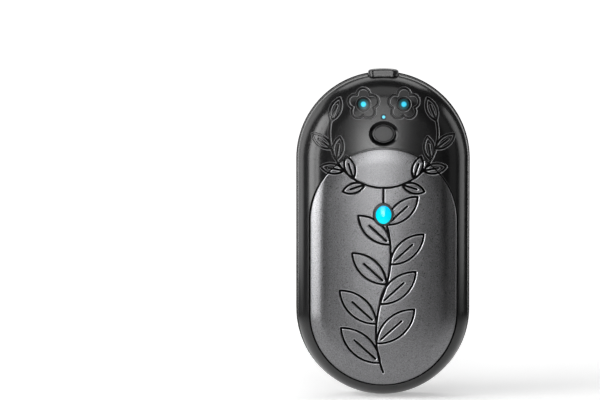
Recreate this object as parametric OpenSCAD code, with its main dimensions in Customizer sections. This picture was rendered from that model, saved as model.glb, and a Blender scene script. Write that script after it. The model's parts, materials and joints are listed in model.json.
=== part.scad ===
// Rechargeable hand warmer: a crowned stadium housing with a heating plate set into its front.
// Every part is drawn as it lies on the flat back: x across, y along the body, z above the back.
// stand() then turns the whole unit upright: +Z along the body, the plate towards -Y.

/* [Body] */
// Width across the rear shell
body_w = 60; // [59:0.5:63]
// Length without the port cover
body_l = 112; // [111.5:0.5:120]
// Depth from the flat back to the top of the crown
body_d = 28; // [27.8:0.1:31]
// Radius of the crown across the front
crown_r = 120; // [100:5:180]
// Radius of the front edge
edge_r = 12; // [11:0.5:13]
// Radius of the rear edge
back_r = 9.5; // [8:0.1:9.6]
// Height of the seam between the two shells
seam_h = 10; // [9.8:0.1:10.4]
// Step from the rear shell in to the front shell at the seam
seam_step = 0.6; // [0.3:0.1:0.8]
// Wall thickness of both shells
wall = 2.4; // [2.2:0.1:2.6]

/* [Heating plate] */
// Distance from the side of the front shell to the plate
plate_margin = 4.3; // [4:0.1:4.6]
// Distance from the top arc's centre up to the plate's upper end
plate_up = 4.4; // [3.6:0.1:4.9]
// Thickness of the plate
plate_t = 1; // [0.9:0.1:1.2]
// Height that the plate stands above the shell
plate_proud = 0.15; // [0.05:0.05:0.25]
// Gap round the plate
plate_gap = 0.4; // [0.2:0.05:0.5]
// Width of the ledge that carries the plate
ledge_w = 1.6; // [1.2:0.1:2]
// Thickness of the foam seal on the ledge
gasket_t = 0.4; // [0.3:0.05:0.5]

/* [Engraving] */
// Width of an engraved line
line_w = 0.8; // [0.6:0.05:1]
// Depth of an engraved line below the crown
line_d = 0.4; // [0.2:0.05:0.5]
// Length of the lowest leaf on the plate
leaf_l = 18; // [15:0.5:19]
// Width of the lowest leaf on the plate
leaf_w = 7.4; // [6:0.2:8]
// Radius of the wreath round the button
wreath_r = 18.5; // [18:0.1:19]
// Length of a wreath leaf
wreath_leaf_l = 8; // [6:0.2:8.4]
// Width of a wreath leaf
wreath_leaf_w = 3.4; // [3:0.1:3.8]

/* [Lamps] */
// Distance from the middle to each round lamp
lamp_x = 6.9; // [6.7:0.1:7.2]
// Distance from the top arc's centre up to the round lamps
lamp_up = 19.6; // [19:0.1:20]
// Radius of a round lamp's lens
lamp_r = 1.75; // [1.6:0.05:1.9]
// Distance from the top arc's centre up to the small lamp
dot_up = 15.3; // [15:0.1:15.6]
// Radius of the small lamp's lens
dot_r = 0.7; // [0.6:0.05:0.9]
// Distance that the oval lamp lies above the centre of the plate's top arc
gem_up = 2.6; // [2:0.1:3.2]
// Width of the oval lamp's lens
gem_w = 5.2; // [4.8:0.1:5.4]
// Length of the oval lamp's lens
gem_l = 6.1; // [5.8:0.1:6.4]
// Width of the ring round the oval lamp
gem_ring = 0.65; // [0.5:0.05:0.8]

/* [Button] */
// Distance from the top arc's centre up to the button
button_up = 9.6; // [9.2:0.1:10]
// Width of the button's cap
button_w = 7; // [6.6:0.1:7.2]
// Length of the button's cap
button_l = 5.7; // [5.4:0.1:6]
// Width of the recessed ring round the cap
button_ring = 1.2; // [1:0.05:1.3]
// Depth of the recessed ring
button_dip = 0.9; // [0.7:0.05:1]
// Travel of the button
button_travel = 0.4; // [0.3:0.05:0.5]

/* [Charging port] */
// Width of the cover
cover_w = 10.4; // [10.2:0.1:11]
// Height of the cover from its hinge line to its free edge
cover_h = 7; // [6.8:0.1:7.2]
// Distance that the cover stands beyond the end of the body
cover_out = 1.2; // [1:0.1:1.5]
// Width of the receptacle's shell
socket_w = 8.94; // [8.9:0.02:9]
// Thickness of the receptacle's shell
socket_h = 3.26; // [3.2:0.02:3.3]
// Length of the receptacle
socket_l = 7.3; // [6.8:0.1:7.5]

/* [Cells and board] */
// Radius of a cell
cell_r = 9.15; // [9:0.05:9.2]
// Length of a cell
cell_l = 65; // [64.4:0.1:65.2]
// Gap between the cells
cell_gap = 0.4; // [0.3:0.05:0.5]
// Thickness of the circuit board
board_t = 1.2; // [1:0.1:1.3]
// Height of the circuit board above the back
board_z = 16.4; // [16.2:0.1:16.6]
// Thickness of the felt pad at its middle
pad_t = 2.1; // [2:0.1:2.4]

/* [Hidden] */
$fn = 96;

// Fits
slip = 0.1;         // between parts that are set into each other
air = 0.25;         // between parts that pass each other
past = 1;           // how far a cutter runs past what it cuts
bore_fit = 0.05;    // radial clearance of a plunger in its bore
screw_fit = 0.02;   // radial clearance of a screw's core in its pilot hole

// Body outline
overlap = 0.02;
half_w = body_w / 2;
front_half_w = half_w - seam_step;
arc_y = body_l / 2 - half_w;
crown_z = body_d - crown_r;
edge_x = front_half_w - edge_r;
edge_z = crown_z + overlap + sqrt(pow(crown_r - edge_r, 2) - pow(edge_x, 2));
edge_angle = asin(edge_x / (crown_r - edge_r));
lip_t = 0.9;
lip_h = 1.5;
rim_chamfer = 0.35;

// Height of the front surface, grown by g, at the distance d from the middle line
function front_z(d, g = 0) =
    d <= (crown_r + g) * sin(edge_angle)
        ? crown_z + sqrt(pow(crown_r + g, 2) - pow(d, 2))
        : edge_z + sqrt(pow(edge_r + g, 2) - pow(d - edge_x, 2));

// Heating plate
plate_r = front_half_w - plate_margin;
plate_low_y = -arc_y;
plate_top_y = arc_y + plate_up - plate_r;
plate_under = plate_proud - plate_t;
seal_top = plate_under - slip;
seal_low = seal_top - gasket_t;
ledge_top = seal_low - slip;
film_t = 0.25;
film_low = plate_under - slip - film_t;
film_inset = ledge_w + 0.6;

// Lamps and button
oval_end = 0.84;       // radius of an oval's end arcs as a share of half its width
lamp_y = arc_y + lamp_up;
dot_y = arc_y + dot_up;
button_y = arc_y + button_up;
gem_y = plate_top_y + gem_up;
lamp_well = lamp_r + 0.6;
lens_dip = 0.15;
flange_t = 0.8;
lamp_flange = 0.75;
board_top = board_z + board_t;
led_t = 0.8;
led_w = 1.6;
led_case_t = 0.5;
led_dome_r = 0.65;
lens_low = board_top + led_t + air;
button_top = 0.1;
key_flange = 1;
key_flange_z = front_z(button_up + button_l / 2 + key_flange, -wall) - air - flange_t;
key_room = key_flange_z - board_top;
switch_w = 6;
switch_h = 0.56 * key_room;
plunger_r = 1.7;
collar_r = 2.2;
collar_t = 0.1 * key_room;
switch_lid = 0.13 * key_room;
dome_room = 0.17 * key_room;
switch_floor = switch_h - switch_lid - collar_t - button_travel - dome_room;
switch_top = board_top + switch_h;
stem_r = 1.6;
stem_gap = 0.05;
plunger_rise = 0.24 * key_room;

// Oval lamp
gem_top = 0.45;
gem_ring_top = 0.25;
gem_flange = 0.9;
gem_ring_low = front_z(plate_r / 4, film_low) - air - flange_t;
gem_lens_low = gem_ring_low - slip - flange_t;
gem_dome_r = 11;

// Charging port
socket_skin = 0.3;
socket_floor = 1.2;
contact_w = 6.7;
contact_t = 0.7;
contact_l = 5.5;
port_z = board_z - socket_h / 2;
seat_depth = 0.8;
seat_y = arc_y + front_half_w - seat_depth;
cover_y = seat_y + slip;
cover_top_r = half_w + cover_out;
hinge_y = arc_y + half_w;
hinge_z = seam_h + 1.2;
bead_r = 0.6;
opening_w = socket_w + 2 * air;
opening_h = socket_h + 2 * air;
tongue_w = socket_w - socket_skin;
tongue_h = socket_h - socket_skin;
tongue_l = 0.8;
cover_corner = 2;
cover_chamfer = 0.5;
socket_y = cover_y - tongue_l - air;

// Cells
cell_lift = 0.4;
cell_x = cell_r + cell_gap / 2;
cell_z = wall + cell_lift + cell_r;
cell_clear = 0.65;
cell_low_y = -arc_y - sqrt(pow(half_w - wall - cell_clear, 2) - pow(cell_x + cell_r, 2));
crimp_w = 0.35;
cap_r = 3;
cap_h = 0.8;
groove_down = 3.2;
groove_r = 0.65;
groove_out = 0.3;
cell_top_y = cell_low_y + cell_l;
strap_t = 0.2;
strap_w = 8;
foam_z = cell_z + cell_r + slip;
foam_in = 6.5;
foam_w = 32;
foam_l = cell_l - 2 * foam_in;
foam_y = (cell_low_y + cell_top_y) / 2;
pad_z = body_d + film_low - slip - pad_t;
foam_t = pad_z - slip - foam_z;
pad_in = 0.5;
pad_end_y = cell_top_y - pad_in;
cradle_h = 5;
cradle_t = 1.6;
cradle_step = 23;
stop_h = 6;

// Screws and their posts: the case screws lie beside the cells and under the plate
case_boss_r = 2.9;
post_r = 2.4;
core_r = 0.85;
head_r = 1.9;
head_h = 1.1;
cross_w = 0.5;
cross_l = 2.3;
case_screw_l = 8;
board_screw_l = 5;
pilot_extra = 1.5;
case_wall = 2.6;
case_in = 3.5;
case_beside = 0.7;
case_below = 1.2;
case_low = 5;
case_top = 4.6;
case_x = max(plate_r - case_in, cell_x + cell_r + case_beside + post_r);
case_low_y = plate_low_y - case_low;
case_top_y = plate_top_y + case_top;
case_head_z = front_z(case_x + head_r, plate_under) - case_below - head_h;
case_split_z = case_head_z - case_wall;
pad_half_w = case_x - case_boss_r - air;
case_spots = [for (x = [-case_x, case_x], y = [case_low_y, case_top_y]) [x, y]];

// Circuit boards
board_after = 2.6;
board_clear = 0.3;
board_low_y = cell_top_y + board_after;
board_r = edge_x + sqrt(pow(edge_r - wall, 2) - pow(board_top - edge_z, 2)) - board_clear;
board_l = arc_y + board_r - board_low_y;
post_side = 6.7;
post_up = 6.5;
post_in = 4.3;
post_angle = 55;
post_low = [board_r - post_side, board_low_y + post_up];
post_ring = board_r - post_in;
post_top = [post_ring * cos(post_angle), arc_y + post_ring * sin(post_angle)];
board_spots = [for (s = [-1, 1], p = [post_low, post_top]) [s * p[0], p[1]]];
gem_board_w = 9;
gem_board_l = 10;
gem_board_t = 0.8;
gem_board_z = gem_lens_low - air - led_t - gem_board_t;

// Chips and coil on the main board: place of each middle across and along it, and its size
function along_board(share) = board_low_y + share * board_l;
charge_chip_at = [-13, along_board(0.4)];
charge_chip_size = [5, 5, 0.9];
control_chip_at = [12, along_board(0.37)];
control_chip_size = [4, 5, 1.45];
chip_lift = 0.15;
chip_pin = [1.1, 0.4, 0.8];
chip_pitch = 1.27;
chip_pins = 4;
inductor_w = 6.6;
inductor_past_post = 0.8;
inductor_at = [-12, post_low[1] + post_r + inductor_past_post + inductor_w / 2];
inductor_h = 3;
inductor_base = 0.6;
inductor_core_r = 2.4;
inductor_cap_r = 3.2;
capacitor_at = [6, along_board(0.4)];
capacitor_size = [1.6, 3.2, 1.2];
capacitor_pitch = 3;
capacitors = 4;

// Thin wires: how far each pair spreads at its start and at its end on the main board
lead_r = 0.6;
fine_lead_r = 0.35;
lead_in = 1.5;
heater_lead_in = 2;
thermistor_lead_in = 2.5;
battery_lead_out = 3;
battery_lead_end = [cell_x + battery_lead_out, board_low_y + lead_in];
heater_lead_start = [5, pad_end_y + heater_lead_in];
heater_lead_end = [7, board_low_y + heater_lead_in];
gem_lead_x = 1.5;
gem_lead_end_y = board_low_y + lead_in;
thermistor_r = 0.9;
thermistor_x = 11;
thermistor_past_pad = 1.6;
thermistor_y = pad_end_y + thermistor_past_pad;
thermistor_z = front_z(thermistor_x + thermistor_r, film_low) - slip - thermistor_r;
thermistor_lead_start = 0.5;
thermistor_lead_end = [0.8, board_low_y + thermistor_lead_in];
film_under_z = front_z(heater_lead_start[0], film_low) - slip;

// Engraving
vein_from = 0.12;
vein_to = 0.66;
bud_r = 0.7 * line_w;
stem_leaves = 8;
stem_inset = 4.5;
stem_sway = 2.5;
stem_low_y = plate_low_y - plate_r + stem_inset;
stem_high_y = gem_y;
stem_middle_y = (stem_low_y + stem_high_y) / 2;
stem_quarter = (stem_high_y - stem_low_y) / 4;
sway_r = (pow(stem_quarter, 2) + pow(stem_sway, 2)) / (2 * stem_sway);
sway_angle = asin(stem_quarter / sway_r);
bud_angle = 0.5;
leaf_lean = 48;
leaf_shrink = 0.03;
wreath_bud_angle = 0.9;
wreath_end = 14;
wreath_end_lean = 8;
wreath_outer = [-70, -43, -16];
wreath_inner = [-56, -29];
wreath_lean = 38;
petal_count = 5;
petal_out = 3.1;
petal_r = 2.2;

// Distance of the plate's stem from the middle line at the height y
function stem_x(y) = let (
    s = y < stem_middle_y ? -1 : 1,
    rise = y - stem_middle_y - s * stem_quarter
) s * (sqrt(pow(sway_r, 2) - pow(rise, 2)) - sway_r + stem_sway);

// Half of the section below the front surface, grown by g, from the height low upwards.
// The edge arc rises by overlap above the crown's tangent, and the side lies as much inside it,
// so that each arc crosses the next at about three degrees.
module front_half(g = 0, low = 0) {
    reach = 2 * body_d;
    lean = tan(edge_angle);
    intersection() {
        translate([0, crown_z]) circle(r = crown_r + g, $fn = 4 * $fn);
        polygon([
            [0, low], [edge_x, low], [edge_x, edge_z],
            [edge_x + (reach - edge_z) * lean, reach], [0, reach]
        ]);
    }
    intersection() {
        translate([edge_x, edge_z]) circle(r = edge_r + g);
        translate([0, low]) square(body_w);
    }
    translate([0, low]) square([edge_x + edge_r + g - overlap, edge_z - low]);
}

// Half of the section above the back, grown by g, up to the seam
module rear_half(g = 0) {
    inner_x = half_w - back_r;
    translate([0, -g]) square([inner_x, seam_h + g]);
    translate([inner_x, back_r]) square([back_r + g, seam_h - back_r]);
    translate([inner_x, back_r]) intersection() {
        circle(r = back_r + g);
        translate([0, -back_r - g]) square(back_r + g);
    }
}

// Sweeps a half section round the body: x is the distance from the middle line, y the height
module sweep() {
    rotate([90, 0, 0]) linear_extrude(height = 2 * arc_y, center = true) {
        children();
        mirror([1, 0]) children();
    }
    for (turn = [0, 180])
        rotate([0, 0, turn]) translate([0, arc_y, 0]) rotate_extrude(angle = 180) children();
}

// Everything below the front surface, grown by g
module under_front(g = 0) {
    sweep() front_half(g);
}

// What of the children rises above the front surface, grown by g
module above_front(g = 0) {
    difference() {
        children();
        under_front(g);
    }
}

// What of the children lies below the front surface, grown by g
module below_front(g = 0) {
    intersection() {
        children();
        under_front(g);
    }
}

// Outline of the plate, grown by g
module plate_outline(g = 0) {
    for (y = [plate_low_y, plate_top_y]) translate([0, y]) circle(r = plate_r + g);
    translate([-plate_r - g, plate_low_y]) square([2 * (plate_r + g), plate_top_y - plate_low_y]);
}

// Oval of four arcs, w wide and l long, grown by g
module oval(w, l, g = 0) {
    $fn = 192;
    long = max(w, l) / 2;
    short = min(w, l) / 2;
    end_r = oval_end * short;
    end_x = long - end_r;
    side_r = (pow(end_x, 2) + pow(short, 2) - pow(end_r, 2)) / (2 * (short - end_r));
    meet_x = end_x + (end_r + g) * end_x / (side_r - end_r);
    rotate(l > w ? 90 : 0) {
        for (s = [-1, 1]) translate([s * (end_x + overlap), 0]) circle(r = end_r + g);
        intersection() {
            translate([0, side_r - short]) circle(r = side_r + g);
            translate([0, short - side_r]) circle(r = side_r + g);
            square([2 * meet_x, 4 * long], center = true);
        }
    }
}

// Slot with round ends along y, w wide and h high, its middle at the origin
module slot(w, h, l) {
    rotate([90, 0, 0]) linear_extrude(height = l, center = true) {
        for (s = [-1, 1]) translate([s * (w - h) / 2, 0]) circle(d = h);
        square([w - h, h], center = true);
    }
}

// Thin wire from a to b, which leaves along the arrow out and arrives along the arrow into
module wire(a, out, b, into, r) {
    rings = 9;
    sides = 8;
    function at(t) = pow(1 - t, 3) * a + 3 * pow(1 - t, 2) * t * (a + out)
        + 3 * (1 - t) * pow(t, 2) * (b - into) + pow(t, 3) * b;
    function along(t) = 3 * pow(1 - t, 2) * out + 6 * (1 - t) * t * (b - into - a - out)
        + 3 * pow(t, 2) * into;
    function unit(v) = v / norm(v);
    points = [for (i = [0 : rings - 1]) let (
        t = i / (rings - 1),
        u = unit(cross([1, 0, 0], along(t))),
        v = unit(cross(along(t), u))
    ) for (k = [0 : sides - 1]) at(t) + r * (u * cos(360 * k / sides) + v * sin(360 * k / sides))];
    walls = [for (i = [0 : rings - 2], k = [0 : sides - 1], half = [0, 1])
        let (low = i * sides, high = low + sides, n = (k + 1) % sides)
        half == 0 ? [low + k, low + n, high + n] : [low + k, high + n, high + k]];
    ends = [[for (k = [sides - 1 : -1 : 0]) k], [for (k = [0 : sides - 1]) (rings - 1) * sides + k]];
    polyhedron(points, concat(walls, ends));
}

// Self-tapping screw without its thread, the underside of its head at the origin
module screw(l) {
    difference() {
        union() {
            cylinder(r = head_r, h = head_h);
            translate([0, 0, -l]) cylinder(r = core_r, h = l);
        }
        for (turn = [0, 90]) rotate(turn)
            translate([-cross_l / 2, -cross_w / 2, head_h / 2]) cube([cross_l, cross_w, head_h]);
    }
}

// Engraving: leaves, stems and blossoms as lines of one width

// Leaf of two arcs from its base at the origin to its tip on the x axis, grown by g
module leaf_shape(l, w, g) {
    r = (l * l + w * w) / (4 * w);
    intersection() {
        translate([l / 2, r - w / 2]) circle(r = r + g);
        translate([l / 2, w / 2 - r]) circle(r = r + g);
    }
}

// Outline of a leaf with its vein
module leaf(l, w) {
    difference() {
        leaf_shape(l, w, line_w / 2);
        leaf_shape(l, w, -line_w / 2);
    }
    translate([vein_from * l, -line_w / 2]) square([(vein_to - vein_from) * l, line_w]);
}

// Arc of a line about the origin
module bow(r, from, to) {
    reach = 2 * r;
    middle = (from + to) / 2;
    intersection() {
        difference() {
            circle(r = r + line_w / 2);
            circle(r = r - line_w / 2);
        }
        polygon([
            [0, 0], reach * [cos(from), sin(from)],
            reach * [cos(middle), sin(middle)], reach * [cos(to), sin(to)]
        ]);
    }
}

// Bud that joins two lines
module bud() {
    circle(r = bud_r);
}

// Stem of two opposite bows up the plate, with a leaf to each side in turn
module plate_stem() {
    for (s = [-1, 1]) translate([-s * (sway_r - stem_sway), stem_middle_y + s * stem_quarter])
        rotate(90 - s * 90) bow(sway_r, bud_angle - sway_angle, sway_angle - bud_angle);
    translate([0, stem_middle_y]) bud();
    translate([0, stem_low_y]) bud();
    for (i = [0 : stem_leaves - 1]) {
        y = stem_low_y + (i + 0.5) * 4 * stem_quarter / stem_leaves;
        side = i % 2 == 0 ? -1 : 1;
        size = 1 - leaf_shrink * i;
        translate([stem_x(y), y]) rotate(90 - side * leaf_lean) leaf(size * leaf_l, size * leaf_w);
    }
}

// Two leafy branches that rise round the button from the top of the oval lamp
module wreath() {
    translate([-line_w / 2, gem_y]) square([line_w, button_y - wreath_r - gem_y]);
    translate([0, button_y - wreath_r]) bud();
    for (side = [0, 1]) mirror([side, 0]) translate([0, button_y]) {
        bow(wreath_r, wreath_bud_angle - 90, wreath_end);
        for (a = wreath_outer) wreath_leaf(a, -wreath_lean);
        for (a = wreath_inner) wreath_leaf(a, wreath_lean);
        wreath_leaf(wreath_end, wreath_end_lean);
    }
}

// One leaf of the wreath at the angle a, turned by lean from the branch
module wreath_leaf(a, lean) {
    translate(wreath_r * [cos(a), sin(a)]) rotate(a + 90 + lean) leaf(wreath_leaf_l, wreath_leaf_w);
}

// Scalloped outline round each round lamp
module blossoms() {
    for (s = [-1, 1]) translate([s * lamp_x, lamp_y]) difference() {
        petals(line_w / 2);
        petals(-line_w / 2);
    }
}

// Petals round the origin, grown by g
module petals(g) {
    circle(r = petal_out);
    for (i = [0 : petal_count - 1])
        rotate(90 + i * 360 / petal_count) translate([petal_out, 0]) circle(r = petal_r + g);
}

// Cutter for an engraved outline, which reaches down to the engraving's depth
module engraver() {
    above_front(-line_d) translate([0, 0, seam_h + past])
        linear_extrude(height = body_d) children();
}

// Housing

module front_wall() {
    difference() {
        front_half(0, seam_h);
        front_half(-wall);
        translate([front_half_w, seam_h]) rotate(45) square(rim_chamfer * sqrt(2), center = true);
    }
    translate([front_half_w - wall, seam_h - lip_h]) square([lip_t, lip_h + lip_t]);
}

module front_shell() color([0.05, 0.05, 0.055]) difference() {
    union() {
        sweep() front_wall();
        below_front(-wall / 2) for (p = case_spots)
            translate([p[0], p[1], case_split_z]) cylinder(r = case_boss_r, h = body_d);
    }
    above_front(ledge_top) translate([0, 0, seam_h + past])
        linear_extrude(height = body_d) plate_outline(plate_gap);
    translate([0, 0, seam_h + past]) linear_extrude(height = body_d) difference() {
        plate_outline(-ledge_w);
        for (p = case_spots) translate(p) circle(r = case_boss_r);
    }
    for (p = case_spots) translate([p[0], p[1], 0]) {
        translate([0, 0, case_split_z - past]) cylinder(r = core_r + air, h = body_d);
        translate([0, 0, case_head_z]) cylinder(r = head_r + air, h = body_d);
    }
    translate([0, 0, front_z(button_up) - button_dip])
        linear_extrude(height = body_d) translate([0, button_y]) oval(button_w, button_l, button_ring);
    translate([0, button_y, seam_h + past])
        linear_extrude(height = body_d) oval(button_w, button_l, air);
    for (s = [-1, 1]) translate([s * lamp_x, lamp_y, seam_h + past])
        cylinder(r = lamp_r + slip, h = body_d);
    translate([0, dot_y, seam_h + past]) cylinder(r = dot_r + slip, h = body_d);
    port_cuts();
    engraver() {
        wreath();
        blossoms();
        for (s = [-1, 1]) translate([s * lamp_x, lamp_y]) circle(r = lamp_well);
    }
}

// What the charging port takes out of the front shell
module port_cuts() {
    translate([0, seat_y, port_z]) slot(opening_w, opening_h, 4 * wall);
    translate([0, seat_y, 0]) difference() {
        translate([-cover_w / 2 - air, 0, hinge_z])
            cube([cover_w + 2 * air, 2 * wall, cover_h + air]);
        for (s = [-1, 1]) translate([s * (cover_w / 2 + air), 0, hinge_z + cover_h + air])
            rotate([-90, 0, 0]) corner(cover_corner + air, 2 * wall, s);
    }
    translate([0, hinge_y, hinge_z]) rotate([0, 90, 0])
        cylinder(r = bead_r + air, h = cover_w + 2 * air, center = true);
}

// Filler that rounds an upper corner to the radius r; s is 1 at the right and -1 at the left
module corner(r, h, s) {
    translate([-s * r, r, 0]) difference() {
        translate([s > 0 ? 0 : -r - past, -r - past, -past]) cube([r + past, r + past, h + 2 * past]);
        translate([0, 0, -2 * past]) cylinder(r = r, h = h + 4 * past);
    }
}

module rear_wall() {
    difference() {
        rear_half();
        rear_half(-wall);
        translate([0, seam_h - lip_h - slip])
            square([front_half_w - wall + lip_t + slip, lip_h + past]);
        translate([half_w, seam_h]) rotate(45) square(rim_chamfer * sqrt(2), center = true);
    }
}

module rear_shell() color([0.05, 0.05, 0.055]) difference() {
    union() {
        sweep() rear_wall();
        intersection() {
            cell_ribs();
            sweep() rear_half(-wall / 2);
        }
        for (p = case_spots) translate([p[0], p[1], wall / 2])
            cylinder(r = post_r, h = case_split_z - wall / 2);
        for (p = board_spots) translate([p[0], p[1], wall / 2])
            cylinder(r = post_r, h = board_z - wall / 2);
    }
    for (p = case_spots) translate([p[0], p[1], case_head_z - case_screw_l - pilot_extra])
        cylinder(r = core_r + screw_fit, h = body_d);
    for (p = board_spots) translate([p[0], p[1], board_top - board_screw_l - pilot_extra])
        cylinder(r = core_r + screw_fit, h = body_d);
}

// Cradle ribs under the cells and a stop at each end of them
module cell_ribs() {
    width = 2 * (cell_x + cell_r);
    difference() {
        for (i = [-1, 0, 1]) translate([-width / 2, foam_y + i * cradle_step - cradle_t / 2, 0])
            cube([width, cradle_t, wall + cradle_h]);
        for (s = [-1, 1]) translate([s * cell_x, foam_y, cell_z])
            rotate([90, 0, 0]) cylinder(r = cell_r + slip, h = cell_l, center = true);
    }
    for (y = [cell_low_y - strap_t - slip - cradle_t, cell_top_y + strap_t + slip])
        translate([-cell_x, y, 0]) cube([2 * cell_x, cradle_t, wall + stop_h]);
}

// Heating stack

module heating_plate() color([0.55, 0.55, 0.56]) difference() {
    intersection() {
        translate([0, 0, seam_h]) linear_extrude(height = body_d) plate_outline();
        front_layer(plate_proud, plate_under);
    }
    translate([0, gem_y, seam_h]) linear_extrude(height = body_d) oval(gem_w, gem_l, gem_ring + 2 * slip);
    engraver() {
        plate_stem();
        wreath();
    }
}

// Layer that follows the front surface, from the one grown by high down to the one grown by low
module front_layer(high, low) {
    sweep() difference() {
        front_half(high, seam_h);
        front_half(low);
    }
}

module plate_gasket() color([0.12, 0.12, 0.12]) difference() {
    intersection() {
        translate([0, 0, seam_h]) linear_extrude(height = body_d) difference() {
            plate_outline(-slip);
            plate_outline(-ledge_w + slip);
        }
        front_layer(seal_top, seal_low);
    }
    for (p = case_spots) translate([p[0], p[1], seam_h]) cylinder(r = head_r + air, h = body_d);
}

// Outline of the heater film inside the shell's ledge and bosses
module film_outline() {
    difference() {
        plate_outline(-film_inset);
        for (p = case_spots) translate(p) circle(r = case_boss_r + air);
        translate([0, gem_y]) oval(gem_w, gem_l, gem_flange + air);
    }
}

module heater_film() color([0.75, 0.42, 0.12]) intersection() {
    translate([0, 0, seam_h]) linear_extrude(height = body_d) film_outline();
    front_layer(plate_under - slip, film_low);
}

module insulation_pad() color([0.85, 0.85, 0.82]) difference() {
    below_front(film_low - slip) translate([0, 0, pad_z]) linear_extrude(height = body_d)
        intersection() {
            plate_outline(-film_inset);
            translate([-pad_half_w, pad_end_y - body_l]) square([2 * pad_half_w, body_l]);
        }
    translate([0, gem_y, pad_z - past])
        linear_extrude(height = body_d) oval(gem_w, gem_l, gem_flange + air);
}

module cell_foam() color([0.2, 0.2, 0.22]) difference() {
    translate([-foam_w / 2, foam_y - foam_l / 2, foam_z]) cube([foam_w, foam_l, foam_t]);
    translate([-gem_board_w / 2 - air, gem_y - gem_board_l / 2 - air, gem_board_z])
        cube([gem_board_w + 2 * air, body_l, body_d]);
}

// Cells

module battery_cell(x) {
    translate([x, cell_low_y, cell_z]) rotate([-90, 0, 0]) rotate_extrude() difference() {
        square([cell_r, cell_l]);
        translate([cap_r, cell_l - cap_h]) square([cell_r - crimp_w - cap_r, cap_h + past]);
        translate([cell_r + groove_out, cell_l - groove_down]) circle(r = groove_r);
    }
}

module battery_cell_left() color([0.2, 0.45, 0.7]) battery_cell(-cell_x);

module battery_cell_right() color([0.2, 0.45, 0.7]) battery_cell(cell_x);

module cell_strap(y) {
    translate([-cell_x - strap_w / 2, y, cell_z - strap_w / 2])
        cube([2 * cell_x + strap_w, strap_t, strap_w]);
}

module cell_strap_bottom() color([0.75, 0.75, 0.73]) cell_strap(cell_low_y - strap_t);

module cell_strap_top() color([0.75, 0.75, 0.73]) cell_strap(cell_top_y);

// Electronics

module main_board() color([0.05, 0.3, 0.15]) difference() {
    translate([0, 0, board_z]) linear_extrude(height = board_t) intersection() {
        translate([0, arc_y]) circle(r = board_r);
        translate([-half_w, board_low_y]) square([body_w, body_l]);
    }
    for (p = board_spots) translate([p[0], p[1], board_z - past])
        cylinder(r = core_r + air, h = board_t + 2 * past);
}

module tact_switch_base() color([0.15, 0.15, 0.15]) translate([0, button_y, board_top]) difference() {
    translate([-switch_w / 2, -switch_w / 2, 0]) cube([switch_w, switch_w, switch_h]);
    translate([0, 0, switch_floor])
        cylinder(r = collar_r + bore_fit, h = switch_h - switch_lid - switch_floor);
    translate([0, 0, switch_floor]) cylinder(r = plunger_r + bore_fit, h = switch_h);
}

module tact_plunger() color([0.6, 0.1, 0.1]) translate([0, button_y, switch_top - switch_lid - bore_fit]) {
    translate([0, 0, -collar_t]) cylinder(r = collar_r, h = collar_t);
    cylinder(r = plunger_r, h = switch_lid + bore_fit + plunger_rise);
}

module power_button() color([0.12, 0.12, 0.125]) {
    below_front(button_top) translate([0, button_y, key_flange_z])
        linear_extrude(height = body_d) oval(button_w, button_l);
    translate([0, button_y, key_flange_z])
        linear_extrude(height = flange_t) oval(button_w, button_l, key_flange);
    translate([0, button_y, switch_top + plunger_rise + stem_gap])
        cylinder(r = stem_r, h = key_flange_z - switch_top - plunger_rise - stem_gap + flange_t / 2);
}

// Light pipe from just above its LED to the front surface, with a flange under the shell
module light_pipe(x, y, r) {
    d = norm([x, y - arc_y]);
    flange_z = front_z(d + r + lamp_flange, -wall) - slip - flange_t;
    below_front(-lens_dip) translate([x, y, lens_low]) cylinder(r = r, h = body_d);
    below_front(-wall - slip) translate([x, y, flange_z]) cylinder(r = r + lamp_flange, h = body_d);
}

module lamp_lens_left() color([0.1, 0.75, 0.9]) light_pipe(-lamp_x, lamp_y, lamp_r);

module lamp_lens_right() color([0.1, 0.75, 0.9]) light_pipe(lamp_x, lamp_y, lamp_r);

module center_lens() color([0.1, 0.75, 0.9]) light_pipe(0, dot_y, dot_r);

module led_chip(x, y, z) {
    translate([x - led_w / 2, y - led_w / 2, z]) cube([led_w, led_w, led_case_t]);
    translate([x, y, z]) cylinder(r = led_dome_r, h = led_t);
}

module lamp_leds() color([0.9, 0.9, 0.8]) {
    for (s = [-1, 1]) led_chip(s * lamp_x, lamp_y, board_top);
    led_chip(0, dot_y, board_top);
}

module gem_bezel() color([0.03, 0.03, 0.03]) translate([0, gem_y, 0]) difference() {
    union() {
        translate([0, -gem_y, 0]) below_front(gem_ring_top) translate([0, gem_y, gem_ring_low])
            linear_extrude(height = body_d) oval(gem_w, gem_l, gem_ring);
        translate([0, 0, gem_ring_low]) linear_extrude(height = flange_t) oval(gem_w, gem_l, gem_flange);
    }
    translate([0, 0, gem_ring_low - past]) linear_extrude(height = body_d) oval(gem_w, gem_l, slip);
}

module gem_lens() color([0, 0.85, 1]) translate([0, gem_y, 0]) {
    intersection() {
        translate([0, 0, gem_lens_low]) linear_extrude(height = body_d) oval(gem_w, gem_l);
        translate([0, 0, body_d + gem_top - gem_dome_r]) sphere(r = gem_dome_r);
    }
    translate([0, 0, gem_lens_low]) linear_extrude(height = flange_t) oval(gem_w, gem_l, gem_ring);
}

module gem_board() color([0.05, 0.3, 0.15])
    translate([-gem_board_w / 2, gem_y - gem_board_l / 2, gem_board_z])
        cube([gem_board_w, gem_board_l, gem_board_t]);

module gem_led() color([0.9, 0.9, 0.8]) led_chip(0, gem_y, gem_board_z + gem_board_t);

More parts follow.
